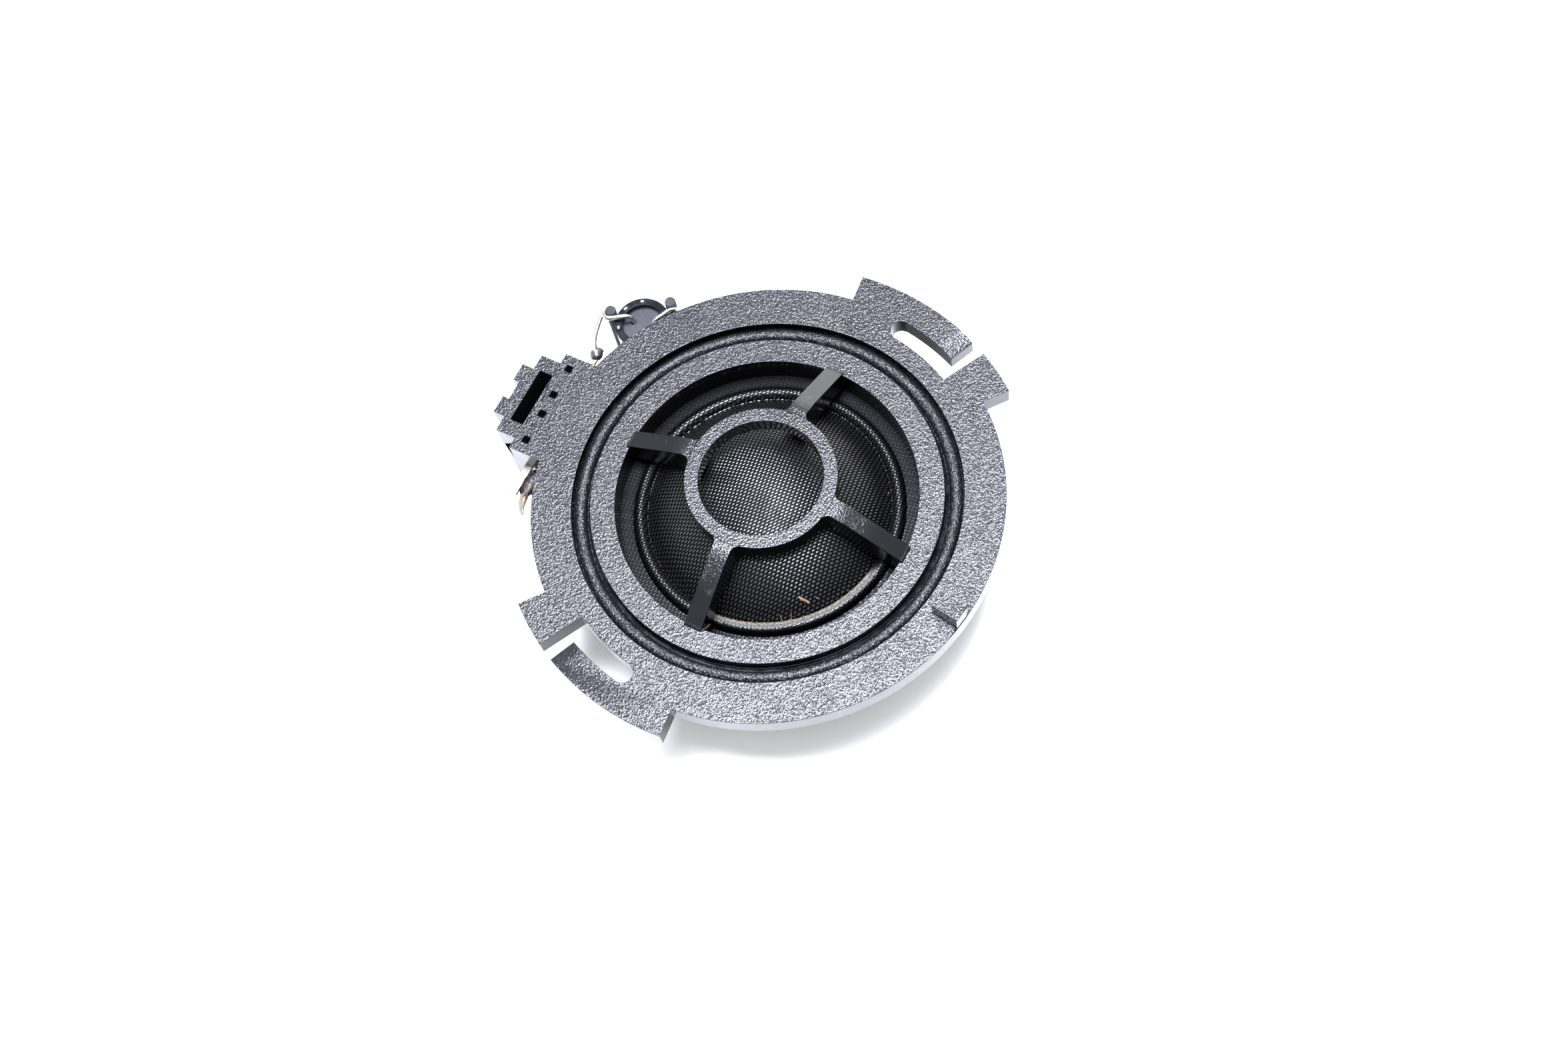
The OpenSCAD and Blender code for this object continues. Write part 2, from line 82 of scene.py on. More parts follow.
# The camera: angles in degrees, lengths in millimetres.
CAMERA_TURN = (40.9, 64.6056, 15.0673)
CAMERA_TARGET, CAMERA_DISTANCE = (3.1455, -1.9313, 2.2), 207.924
SENSOR_WIDTH, LENS = 36, 46.11

COLLECTION = bpy.context.scene.collection
bpy.context.scene.view_settings.view_transform = "Standard"

# ---------------------------------------------------------------- camera, floor, lights


def axes_of_view(azimuth, elevation, roll):
    """The camera's right, up and backward directions."""
    a, e, r = (math.radians(v) for v in (azimuth, elevation, roll))
    back = Vector((math.sin(a) * math.cos(e), -math.cos(a) * math.cos(e), math.sin(e)))
    right = Vector((math.cos(a), math.sin(a), 0))
    up = back.cross(right)
    x = math.cos(r) * right - math.sin(r) * up
    y = math.sin(r) * right + math.cos(r) * up
    return x, y, back


def make_camera():
    data = bpy.data.cameras.new("camera")
    data.sensor_width = SENSOR_WIDTH
    data.lens = LENS
    data.clip_start, data.clip_end = 0.01, 20
    camera = bpy.data.objects.new("camera", data)
    COLLECTION.objects.link(camera)
    x, y, back = axes_of_view(*CAMERA_TURN)
    place = Vector(CAMERA_TARGET) * MM + back * CAMERA_DISTANCE * MM
    camera.matrix_world = Matrix.Translation(place) @ Matrix((x, y, back)).transposed().to_4x4()
    bpy.context.scene.camera = camera


make_camera()


def area_light(name, direction, distance, size, radiance, tint=(1, 1, 1), mirrored=True):
    """A square soft light that faces the object, of that brightness seen from the front.

    With mirrored False it lights the scene but isn't seen in glossy surfaces, as a far, wide fill.
    """
    data = bpy.data.lights.new(name, "AREA")
    data.shape = "SQUARE"
    data.size = size
    data.energy = radiance * math.pi * size * size
    data.color = tint
    light = bpy.data.objects.new(name, data)
    COLLECTION.objects.link(light)
    d = Vector(direction).normalized()
    light.location = d * distance
    light.rotation_mode = "QUATERNION"
    light.rotation_quaternion = d.to_track_quat("Z", "Y")
    light.visible_glossy = mirrored


area_light("softbox", (-0.02, 0.05, 0.995), 0.60, 0.28, 51.0, (0.96, 0.985, 1.09))
area_light("rim_panel", (-0.62, 0.70, 0.42), 0.7, 0.22, 4.0, (0.97, 0.985, 1.06))
area_light("back_panel", (0.0, 1.0, 0.22), 0.8, 0.7, 2.5)
area_light("side_panel", (-1.0, -0.35, 0.35), 0.8, 0.5, 1.4)
area_light("fill", (0.3, -0.4, 0.85), 0.9, 1.0, 1.7, mirrored=False)


def make_world():
    world = bpy.data.worlds.new("world")
    bpy.context.scene.world = world
    world.use_nodes = True
    background = world.node_tree.nodes["Background"]
    background.inputs["Color"].default_value = (0.93, 0.96, 1.0, 1)
    background.inputs["Strength"].default_value = 0.5


make_world()

# ---------------------------------------------------------------- material nodes


class Nodes:
    """A short way to write a material's nodes. Lengths are in millimetres of the object's own frame.

    Metallic with a near-black colour is used as a mask: it takes reflection away where a surface is
    dull, shaded or dusty.
    """

    def __init__(self, name, slot):
        self.material = bpy.data.materials.new("look_" + name)
        self.material.use_nodes = True
        self.tree = self.material.node_tree
        self.shader = self.tree.nodes["Principled BSDF"]
        place = self.add("ShaderNodeTexCoord").outputs["Object"]
        self.place = self.vector("SCALE", place, scale=1000)
        self.x, self.y, self.z = self.split(self.place)
        self.normal = self.add("ShaderNodeNewGeometry").outputs["Normal"]

    def add(self, kind, **settings):
        node = self.tree.nodes.new(kind)
        for key, value in settings.items():
            setattr(node, key, value)
        return node

    def put(self, socket, value):
        if isinstance(value, bpy.types.NodeSocket):
            self.tree.links.new(value, socket)
        elif value is not None:
            socket.default_value = value

    def math(self, operation, a, b=None, c=None):
        node = self.add("ShaderNodeMath", operation=operation)
        for socket, value in zip(node.inputs, (a, b, c)):
            self.put(socket, value)
        return node.outputs[0]

    def vector(self, operation, a, b=None, scale=None):
        node = self.add("ShaderNodeVectorMath", operation=operation)
        self.put(node.inputs[0], a)
        self.put(node.inputs[1], b)
        if scale is not None:
            self.put(node.inputs["Scale"], scale)
        return node.outputs["Vector"]

    def split(self, vector):
        node = self.add("ShaderNodeSeparateXYZ")
        self.put(node.inputs[0], vector)
        return node.outputs

    def join(self, x, y, z):
        node = self.add("ShaderNodeCombineXYZ")
        for socket, value in zip(node.inputs, (x, y, z)):
            self.put(socket, value)
        return node.outputs[0]

    def noise(self, size, detail=2.0, roughness=0.5, place=None, colour=False):
        node = self.add("ShaderNodeTexNoise")
        self.put(node.inputs["Vector"], place or self.place)
        node.inputs["Scale"].default_value = 1 / size
        node.inputs["Detail"].default_value = detail
        node.inputs["Roughness"].default_value = roughness
        return node.outputs["Color" if colour else "Fac"]

    def ramp(self, value, low, high, out_low=0.0, out_high=1.0):
        """out_low where value is under low, out_high where it is over high."""
        node = self.add("ShaderNodeMapRange")
        node.interpolation_type = "SMOOTHSTEP"
        for key, item in (("Value", value), ("From Min", low), ("From Max", high),
                          ("To Min", out_low), ("To Max", out_high)):
            self.put(node.inputs[key], item)
        return node.outputs[0]

    def mix(self, factor, a, b):
        node = self.add("ShaderNodeMix", data_type="RGBA")
        self.put(node.inputs["Factor"], factor)
        for key, value in (("A", a), ("B", b)):
            if isinstance(value, tuple):
                value = (*value, 1)
            self.put([s for s in node.inputs if s.name == key and s.type == "RGBA"][0], value)
        return [s for s in node.outputs if s.type == "RGBA"][0]

    def radius(self, cx=0.0, cy=0.0):
        dx, dy = self.math("SUBTRACT", self.x, cx), self.math("SUBTRACT", self.y, cy)
        squares = self.math("ADD", self.math("MULTIPLY", dx, dx), self.math("MULTIPLY", dy, dy))
        return self.math("SQRT", squares)

    def angle(self, cx=0.0, cy=0.0):
        """Degrees round (cx, cy), from -180 to 180."""
        turn = self.math("ARCTAN2", self.math("SUBTRACT", self.y, cy), self.math("SUBTRACT", self.x, cx))
        return self.math("MULTIPLY", turn, 180 / math.pi)

    def band(self, value, low, high, soft):
        """1 between low and high, falling to 0 over soft on each side."""
        rise = self.ramp(value, low - soft, low)
        return self.math("MULTIPLY", rise, self.ramp(value, high, high + soft, 1.0, 0.0))

    def tilt(self, *slopes):
        """The surface normal turned by the vectors in slopes."""
        n = self.normal
        for slope in slopes:
            n = self.vector("ADD", n, slope)
        return self.vector("NORMALIZE", n)

    def rough_slope(self, size, amount, detail=2.0, roughness=0.5, place=None):
        """A random slope from noise, to turn the normal with. amount is a number or a socket."""
        cloud = self.noise(size, detail, roughness, place, colour=True)
        centred = self.vector("SUBTRACT", cloud, (0.5, 0.5, 0.5))
        return self.vector("SCALE", centred, scale=amount)

    def bumps(self, size, height, detail=2.0, roughness=0.5):
        """The slope of a noise relief that many millimetres high, for faces that look up or down."""
        step = size * 0.12
        here = self.noise(size, detail, roughness)
        slopes = []
        for offset in ((step, 0.0, 0.0), (0.0, step, 0.0)):
            there = self.noise(size, detail, roughness, self.vector("ADD", self.place, offset))
            slopes.append(self.math("MULTIPLY", self.math("SUBTRACT", here, there), height / step))
        return self.join(*slopes, 0.0), here

    def finish(self, colour=None, roughness=None, normal=None, metallic=None, ior=None):
        s = self.shader.inputs
        for key, value in (("Base Color", colour), ("Roughness", roughness), ("Normal", normal),
                           ("Metallic", metallic), ("IOR", ior)):
            if isinstance(value, tuple):
                value = (*value, 1)
            self.put(s[key], value)
        return self.material


def floor_material():
    n = Nodes("floor", None)
    speck = n.ramp(n.noise(0.5, 3), 0.76, 0.8)
    return n.finish(n.mix(speck, (0.93, 0.93, 0.93), (0.9, 0.89, 0.87)), 0.5)


# The dust on the roll: the arc that it covers, in degrees, and its inner and outer edge, in millimetres. Within
# the same arc the roll's outer half gets painted shade.
DUST_AND_SHADE_ARC = (-92.0, -14.0)
DUST_R0, DUST_R1 = 13.24, 13.76

# Centres of the four dried drops on the land, in millimetres.
STAINS = [(17.1, 5.0), (17.7, 2.2), (17.9, -1.6), (17.5, -3.4)]


def grain_material():
    """Front faces: spark-eroded grain, weak on the sloping spokes and coarse on the bead."""
    n = Nodes("grained_plastic", "grained_plastic")
    r = n.radius()
    # The spokes lose their grain over 2.6 mm from the guard ring, and 2.6 mm further out where x > y.
    reach = n.ramp(n.math("SUBTRACT", n.x, n.y), -1.0, 1.0)
    fade = n.math("MULTIPLY", reach, 2.6)
    spokes = n.ramp(r, n.math("ADD", fade, GUARD_RING_R), n.math("ADD", fade, GUARD_RING_R + 2.6))
    spokes = n.math("MULTIPLY", spokes, n.ramp(r, LAND_INNER_R - 0.05, LAND_INNER_R, 1.0, 0.0))
    bead = n.band(r, BEAD_R0, BEAD_R1, 0.1)
    worn = n.ramp(n.noise(4.5, 2), 0.3, 0.7, 1.1, 0.8)
    amount = n.math("MULTIPLY", n.ramp(spokes, 0, 1, 1.0, 0.06), n.ramp(bead, 0, 1, 1.0, 1.8))
    on_ring = n.ramp(r, GUARD_RING_R, GUARD_RING_R + 0.4, 0.75, 1.0)
    amount = n.math("MULTIPLY", n.math("MULTIPLY", amount, worn), on_ring)
    slope, height = n.bumps(0.23, 0.096, 2.0, 0.6)
    grain = n.vector("SCALE", slope, scale=amount)
    # The grain's low pits: their darker colour and lost reflection below are painted shade in the hollows.
    shaded_pits = n.math("MULTIPLY", n.ramp(height, 0.38, 0.50, 1.0, 0.0), n.ramp(amount, 0.3, 1.0))
    key = n.math("MULTIPLY", n.ramp(n.z, 3.5, 3.6), n.ramp(r, 20.0, 20.1))
    dull = n.math("MULTIPLY", shaded_pits, 0.45)
    for area, least in ((bead, 0.12), (key, 0.2)):
        dull = n.math("MAXIMUM", dull, n.math("MULTIPLY", area, least))
    # Painted shade: the pits get a darker colour than the rest of the grain.
    base = n.mix(shaded_pits, (0.011, 0.0115, 0.015), (0.003, 0.003, 0.006))
    base = n.mix(spokes, base, (0.004, 0.004, 0.006))
    stain = n.math("MULTIPLY", n.ramp(n.noise(1.3, 2), 0.62, 0.76), 0.5)
    for cx, cy in STAINS:
        spot = n.math("ADD", n.radius(cx, cy), n.math("MULTIPLY", n.noise(0.5, 2), 0.6))
        stain = n.math("MAXIMUM", stain, n.ramp(spot, 0.35, 0.75, 0.8, 0.0))
    base = n.mix(stain, base, (0.045, 0.04, 0.033))
    dust = n.ramp(n.noise(0.25, 2, 0.7), 0.76, 0.80)
    base = n.mix(dust, base, (0.20, 0.19, 0.19))
    rough = n.math("ADD", n.ramp(n.noise(3.0, 2), 0.3, 0.7, 0.15, 0.21), n.math("MULTIPLY", shaded_pits, 0.2))
    return n.finish(base, rough, n.tilt(grain), dull, ior=1.6)


def gloss_material():
    """Walls: polished tool faces with faint drag lines and specks of dust; within the groove's edge their
    reflection is taken away as painted shade.
    """
    n = Nodes("smooth_plastic", "grained_plastic")
    drag = n.noise(0.5, 3, 0.6, n.vector("MULTIPLY", n.place, (0.35, 0.35, 4.0)))
    wave = n.rough_slope(1.8, 0.06)
    speck = n.ramp(n.noise(0.16, 1, 0.5), 0.80, 0.83)
    base = n.mix(speck, (0.006, 0.0062, 0.009), (0.16, 0.16, 0.17))
    rough = n.ramp(drag, 0.3, 0.75, 0.11, 0.26)
    # Painted shade: the walls within the groove's edge lose most of their reflection.
    groove_shade = n.ramp(n.radius(), GROOVE_OUTER_R + 0.35, GROOVE_OUTER_R + 0.55, 0.85, 0.0)
    return n.finish(base, rough, n.tilt(wave), groove_shade, ior=1.52)


def satin_material(name, slot, colour, roughness, dull=0.0, ior=1.5):
    """Plain moulded plastic or rubber. dull is the least share of the reflection that is masked."""
    n = Nodes(name, slot)
    grain = n.rough_slope(0.12, 0.35, 2, 0.6)
    base = n.mix(n.ramp(n.noise(2.5, 3), 0.35, 0.7), colour, tuple(c * 1.5 for c in colour))
    rough = n.ramp(n.noise(0.8, 3), 0.3, 0.7, roughness - 0.06, roughness + 0.08)
    shade_off = n.ramp(n.noise(1.5, 2), 0.3, 0.7, dull, dull + 0.1)
    return n.finish(base, rough, n.tilt(grain), shade_off, ior=ior)


def weave_parts(n):
    """Phases of the cloth's two thread directions, in radians."""
    out = []
    for kx, ky in (WEAVE_A, WEAVE_B):
        turns = n.math("ADD", n.math("MULTIPLY", n.x, kx), n.math("MULTIPLY", n.y, ky))
        wander = n.math("MULTIPLY", n.math("SUBTRACT", n.noise(3.0, 1), 0.5), 0.5)
        out.append(n.math("MULTIPLY", n.math("ADD", turns, wander), 2 * math.pi))
    return out


def weave_material():
    """Coated cloth: crowns of thread that glint, gaps darkened as painted shade, and a band of dust low on the
    roll.
    """
    n = Nodes("coated_weave", "coated_weave")
    a, b = weave_parts(n)
    both = n.math("ADD", a, b)
    waves = ((a, WEAVE_A, SHARE_A), (b, WEAVE_B, SHARE_B),
             (both, (WEAVE_A[0] + WEAVE_B[0], WEAVE_A[1] + WEAVE_B[1]), SHARE_SUM))
    height = None
    for phase, _, share in waves:
        part = n.math("MULTIPLY", n.math("COSINE", phase), share)
        height = part if height is None else n.math("ADD", height, part)
    r = n.radius()
    coat = n.ramp(n.noise(4.0, 2), 0.38, 0.62, 1.0, 0.55)
    # Slopes are weaker on the roll than on the dome, and weakest on the flat edge.
    strength = n.math("MULTIPLY", coat, n.ramp(r, 12.6, 13.0, 0.19, 0.09))
    strength = n.math("MULTIPLY", strength, n.ramp(r, 14.4, 14.7, 1.0, 0.35))
    slopes = []
    for phase, (kx, ky), share in waves:
        push = n.math("MULTIPLY", n.math("MULTIPLY", n.math("SINE", phase), strength), share)
        slopes.append(n.vector("SCALE", (kx, ky, 0.0), scale=push))
    # Gaps between the crowns are darker and dulled, as painted shade; so is the flat edge, sunk by the aperture
    # wall; the roll is dulled as well.
    crown = n.ramp(height, -0.1, 0.28)
    dull = n.math("MAXIMUM", n.ramp(crown, 0, 1, 0.95, 0.0), n.ramp(r, 14.45, 14.7, 0.0, 0.9))
    dull = n.math("MAXIMUM", dull, n.ramp(r, 12.95, 13.1, 0.0, 0.6))
    # Painted shade: the gaps' colour is darker than the crowns'.
    base = n.mix(crown, (0.0012, 0.0012, 0.002), (0.007, 0.007, 0.009))
    grime = n.ramp(n.noise(0.2, 2, 0.6), 0.77, 0.80)
    base = n.mix(grime, base, (0.22, 0.20, 0.18))
    low = n.band(n.angle(), *DUST_AND_SHADE_ARC, 10.0)
    # Painted shade: within the dust's arc the roll's outer half loses its reflection.
    dull = n.math("MAXIMUM", dull, n.math("MULTIPLY", low, n.ramp(r, 13.85, 14.0, 0.0, 0.95)))
    wide = n.ramp(n.noise(0.3, 4, 0.8), 0.3, 0.7, 0.0, 0.4)
    roll = n.math("MULTIPLY", n.ramp(n.math("ADD", r, wide), DUST_R0, DUST_R0 + 0.1),
                  n.ramp(n.math("SUBTRACT", r, wide), DUST_R1 - 0.14, DUST_R1, 1.0, 0.0))
    fibres = n.ramp(n.noise(0.12, 4, 0.8), 0.42, 0.52)
    dust = n.math("MULTIPLY", n.math("MULTIPLY", low, roll), fibres)
    warm = n.mix(n.ramp(r, 13.3, 13.72), (0.23, 0.2, 0.145), (0.065, 0.068, 0.064))
    base = n.mix(dust, base, warm)
    rough = n.ramp(crown, 0, 1, 0.5, 0.27)
    rough = n.math("MAXIMUM", rough, n.math("MULTIPLY", dust, 0.95))
    fine = n.rough_slope(0.07, n.math("ADD", n.math("MULTIPLY", dust, 2.2), 0.12))
    metal = n.math("MULTIPLY", dull, n.ramp(dust, 0, 1, 1.0, 0.0))
    return n.finish(base, rough, n.tilt(fine, *slopes), metal, ior=1.95)


def metal_material(name, slot, colour, roughness, stain, amount, grain):
    """Bare metal, clouded with a stain."""
    n = Nodes(name, slot)
    cloud = n.ramp(n.noise(0.9, 4, 0.6), 0.45, 0.75)
    base = n.mix(n.math("MULTIPLY", cloud, amount), colour, stain)
    rough = n.ramp(n.noise(0.3, 3), 0.3, 0.7, roughness - 0.08, roughness + 0.1)
    return n.finish(base, rough, n.tilt(n.rough_slope(0.15, grain)), metallic=1.0)


def turned_material(name, slot, colour, roughness):
    """Plated steel faced in a lathe: rings round the axis."""
    n = Nodes(name, slot)
    r = n.radius()
    rings = n.math("SINE", n.math("MULTIPLY", r, 2 * math.pi / 0.22))
    outward = n.vector("NORMALIZE", n.join(n.x, n.y, 0.0))
    groove = n.vector("SCALE", outward, scale=n.math("MULTIPLY", rings, 0.05))
    cloud = n.ramp(n.noise(4.0, 3), 0.35, 0.75)
    base = n.mix(cloud, colour, tuple(c * 0.72 for c in colour))
    rough = n.ramp(n.noise(1.2, 3), 0.3, 0.7, roughness - 0.06, roughness + 0.1)
    return n.finish(base, rough, n.tilt(groove, n.rough_slope(0.4, 0.06)), metallic=1.0)


def winding_material():
    """Enamelled wire: turns stacked along the axis on the coil, plain on the lead-outs."""
    n = Nodes("enamelled_copper", "enamelled_copper")
    turns = n.math("SINE", n.math("MULTIPLY", n.z, 2 * math.pi / 0.12))
    push = n.math("MULTIPLY", turns, n.ramp(n.radius(), 13.4, 13.8, 0.5, 0.0))
    base = n.mix(n.ramp(n.noise(0.6, 2), 0.35, 0.7), (0.34, 0.13, 0.05), (0.20, 0.07, 0.03))
    rough = n.ramp(n.noise(0.4, 2), 0.3, 0.7, 0.2, 0.36)
    return n.finish(base, rough, n.tilt(n.join(0.0, 0.0, push)), metallic=0.9)


def felt_material():
    """Pressed black felt."""
    n = Nodes("black_felt", "black_felt")
    fibres = n.noise(0.12, 4, 0.75)
    base = n.mix(n.ramp(fibres, 0.35, 0.7), (0.01, 0.01, 0.011), (0.055, 0.055, 0.06))
    return n.finish(base, n.ramp(fibres, 0.2, 0.8, 0.8, 1.0), n.tilt(n.rough_slope(0.14, 1.4, 3)))


def film_material():
    """Thin amber film."""
    n = Nodes("polyimide_film", "polyimide_film")
    base = n.mix(n.ramp(n.noise(1.5, 2), 0.35, 0.7), (0.42, 0.17, 0.03), (0.55, 0.27, 0.06))
    rough = n.ramp(n.noise(0.9, 2), 0.3, 0.7, 0.18, 0.3)
    return n.finish(base, rough, n.tilt(n.rough_slope(0.8, 0.08)))


def sleeve_material():
    """Shrunk film: a soft sheen, a few creases, and plain pale dashes printed round its lip."""
    n = Nodes("shrink_sleeve", "shrink_sleeve")
    r, turn = n.radius(*CAP), n.angle(*CAP)
    lip = n.math("MULTIPLY", n.band(r, 2.60, 2.82, 0.05), n.ramp(n.z, -0.55, -0.45))
    marks = None
    for centre, half in ((119.0, 4.5), (163.0, 5.0), (217.5, 5.0)):
        away = n.math("ABSOLUTE", n.math("WRAP", n.math("SUBTRACT", turn, centre), 180.0, -180.0))
        dash = n.ramp(away, half - 1.5, half, 1.0, 0.0)
        marks = dash if marks is None else n.math("MAXIMUM", marks, dash)
    print_wear = n.ramp(n.noise(0.3, 3, 0.6), 0.25, 0.4)
    ink = n.math("MULTIPLY", n.math("MULTIPLY", lip, marks), print_wear)
    base = n.mix(ink, (0.012, 0.0125, 0.016), (0.21, 0.215, 0.235))
    rough = n.ramp(n.noise(0.7, 3), 0.3, 0.7, 0.24, 0.4)
    dull = n.ramp(ink, 0, 1, 0.75, 0.0)
    return n.finish(base, rough, n.tilt(n.rough_slope(0.9, 0.25), n.rough_slope(0.15, 0.12)), dull)


def flux_material():
    """Old solder: lumpy, with brown flux left on it; darker at the first lug, as painted shade, and paler
    elsewhere, as painted light.
    """
    n = Nodes("solder", "solder")
    flux = n.ramp(n.noise(0.8, 3, 0.6), 0.48, 0.62)
    # Painted shade and light: the bare solder is darker at the first lug and paler where y is greater.
    solder_lit_and_shaded = n.mix(n.ramp(n.y, -1.0, 1.0), (0.035, 0.036, 0.045), (0.16, 0.16, 0.165))
    base = n.mix(flux, solder_lit_and_shaded, (0.03, 0.013, 0.003))
    rough = n.ramp(n.noise(0.3, 3), 0.3, 0.7, 0.36, 0.55)
    metal = n.ramp(flux, 0, 1, 1.0, 0.0)
    return n.finish(base, rough, n.tilt(n.rough_slope(0.4, 0.7)), metallic=metal)


def resin_material():
    """Amber to pale flux that has run off the joint."""
    n = Nodes("flux_resin", "solder")
    far = n.math("MULTIPLY", n.ramp(n.y, -10.2, -9.7), n.ramp(n.x, -25.2, -24.8))
    base = n.mix(far, (0.17, 0.165, 0.125), (0.06, 0.022, 0.004))
    base = n.mix(n.ramp(n.noise(0.5, 3), 0.5, 0.75), base, (0.15, 0.13, 0.09))
    return n.finish(base, n.ramp(n.noise(0.4, 2), 0.3, 0.7, 0.12, 0.3), n.tilt(n.rough_slope(0.5, 0.4)))


def lint_material():
    """Brown to buff fibres and flecks that lie on the object."""
    n = Nodes("lint", "coated_weave")
    base = n.mix(n.ramp(n.noise(0.15, 2), 0.4, 0.65), (0.20, 0.125, 0.05), (0.13, 0.105, 0.075))
    return n.finish(base, n.ramp(n.noise(0.1, 2), 0.3, 0.7, 0.6, 0.9), n.tilt(n.rough_slope(0.08, 0.8)))


MATERIALS = {
    "grain": grain_material(),
    "gloss": gloss_material(),
    "satin": satin_material("plain_plastic", "plain_plastic", (0.016, 0.0165, 0.02), 0.4),
    "weave": weave_material(),
    "copper": winding_material(),
    "felt": felt_material(),
    "film": film_material(),
    "steel": turned_material("plated_steel", "plated_steel", (0.62, 0.63, 0.66), 0.3),
    "nickel": turned_material("nickel_plated_magnet", "nickel_plated_magnet", (0.66, 0.64, 0.6), 0.2),
    "brass": metal_material("tinned_brass", "tinned_brass", (0.29, 0.283, 0.232), 0.4,
                            (0.25, 0.23, 0.18), 0.25, 0.1),
    "can": metal_material("bare_aluminium", "bare_aluminium", (0.8, 0.81, 0.83), 0.26,
                          (0.6, 0.6, 0.6), 0.2, 0.1),
    "tin": metal_material("tinned_wire", "tinned_wire", (0.66, 0.65, 0.60), 0.22,
                          (0.45, 0.42, 0.36), 0.3, 0.2),
    "rubber": satin_material("rubber_bung", "rubber_bung", (0.028, 0.029, 0.036), 0.5, 0.3),
    "post": satin_material("post_plastic", "plain_plastic", (0.04, 0.04, 0.045), 0.6, 0.0, 1.15),
    "sleeve": sleeve_material(),
    "solder": flux_material(),
    "resin": resin_material(),
    "lint": lint_material(),
}

# ---------------------------------------------------------------- mesh helpers


def new_object(name, mesh, *materials):
    obj = bpy.data.objects.new(name, mesh)
    COLLECTION.objects.link(obj)
    mesh.materials.clear()
    for key in materials:
        mesh.materials.append(MATERIALS[key])
    return obj


def shade(mesh, sharp_deg):
    """Smooth shading, except across edges sharper than sharp_deg."""
    bm = bmesh.new()
    bm.from_mesh(mesh)
    limit = math.radians(sharp_deg)
    for face in bm.faces:
        face.smooth = True
    for edge in bm.edges:
        edge.smooth = len(edge.link_faces) == 2 and edge.calc_face_angle(0) < limit
    bm.to_mesh(mesh)
    bm.free()


def apply_modifiers(obj):
    graph = bpy.context.evaluated_depsgraph_get()
    mesh = bpy.data.meshes.new_from_object(obj.evaluated_get(graph), preserve_all_data_layers=True,
                                           depsgraph=graph)
    obj.modifiers.clear()
    obj.data = mesh


def read(items, key):
    """A property with three numbers, of every vertex or polygon, as rows."""
    values = np.empty(len(items) * 3, np.float32)
    items.foreach_get(key, values)
    return values.reshape(-1, 3)


def to_mesh(bm, name):
    mesh = bpy.data.meshes.new(name)
    bm.to_mesh(mesh)
    bm.free()
    return mesh


def keep_inside(mesh, limit):
    """No vertex of mesh past the box of limit."""
    box = read(limit.vertices, "co")
    co = np.clip(read(mesh.vertices, "co"), box.min(axis=0), box.max(axis=0))
    mesh.vertices.foreach_set("co", co.ravel())
    mesh.update()


def loose(obj, body="root"):
    """A piece that is there for the looks only."""
    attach(obj, body)


def stand_for(obj, node, body="root"):
    """A piece that is shown in the place of a CAD node."""
    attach(obj, body)
    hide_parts(node)


def eased_copy(node, name, *keys, width, segments=2, body="root", clamp=True):
    """A copy of a CAD node's shape with its edges eased, as a mould leaves them."""
    mesh = NODES[node].data.copy()
    bm = bmesh.new()
    bm.from_mesh(mesh)
    bmesh.ops.remove_doubles(bm, verts=bm.verts, dist=3e-6)
    bmesh.ops.dissolve_degenerate(bm, edges=bm.edges, dist=2e-6)
    bmesh.ops.dissolve_limit(bm, angle_limit=math.radians(0.4), verts=bm.verts, edges=bm.edges)
    bm.to_mesh(mesh)
    bm.free()
    if "custom_normal" in mesh.attributes:
        mesh.attributes.remove(mesh.attributes["custom_normal"])
    shade(mesh, 30)
    obj = new_object(name, mesh, *keys)
    bevel = obj.modifiers.new("bevel", "BEVEL")
    bevel.width = width * MM
    bevel.segments = segments
    bevel.limit_method = "ANGLE"
    bevel.angle_limit = math.radians(38)
    bevel.use_clamp_overlap = clamp
    bevel.harden_normals = True
    bevel.miter_outer = "MITER_ARC"
    apply_modifiers(obj)
    keep_inside(obj.data, NODES[node].data)
    stand_for(obj, node, body)
    return obj


def lathe(name, profile, segments, key):
    """A ring turned from a closed profile of (radius, z) points in millimetres."""
    bm = bmesh.new()
    rings = []
    for k in range(segments):
        a = 2 * math.pi * k / segments
        rings.append([bm.verts.new((r * math.cos(a) * MM, r * math.sin(a) * MM, z * MM)) for r, z in profile])
    m = len(profile)
    for k in range(segments):
        here, there = rings[k], rings[(k + 1) % segments]
        for i in range(m):
            j = (i + 1) % m
            bm.faces.new((here[i], there[i], there[j], here[j]))
    bmesh.ops.recalc_face_normals(bm, faces=bm.faces)
    return new_object(name, to_mesh(bm, name), key)


# The rounded ends of a swept bar: share of its radius, and share of the end's length, of the two end rings.
END_RINGS = ((0.35, 0.92), (0.75, 0.66))
END_LENGTH = 0.4


def smooth_route(points, steps):
    """A Catmull-Rom route through the points."""
    p = [Vector(q) for q in points]
    out = []
    for i in range(len(p) - 1):
        a, b, c, d = p[max(i - 1, 0)], p[i], p[i + 1], p[min(i + 2, len(p) - 1)]
        for s in range(steps):
            t = s / steps
            out.append(0.5 * ((2 * b) + (c - a) * t + (2 * a - 5 * b + 4 * c - d) * t * t
                              + (3 * b - a - 3 * c + d) * t ** 3))
    return out + [p[-1]]


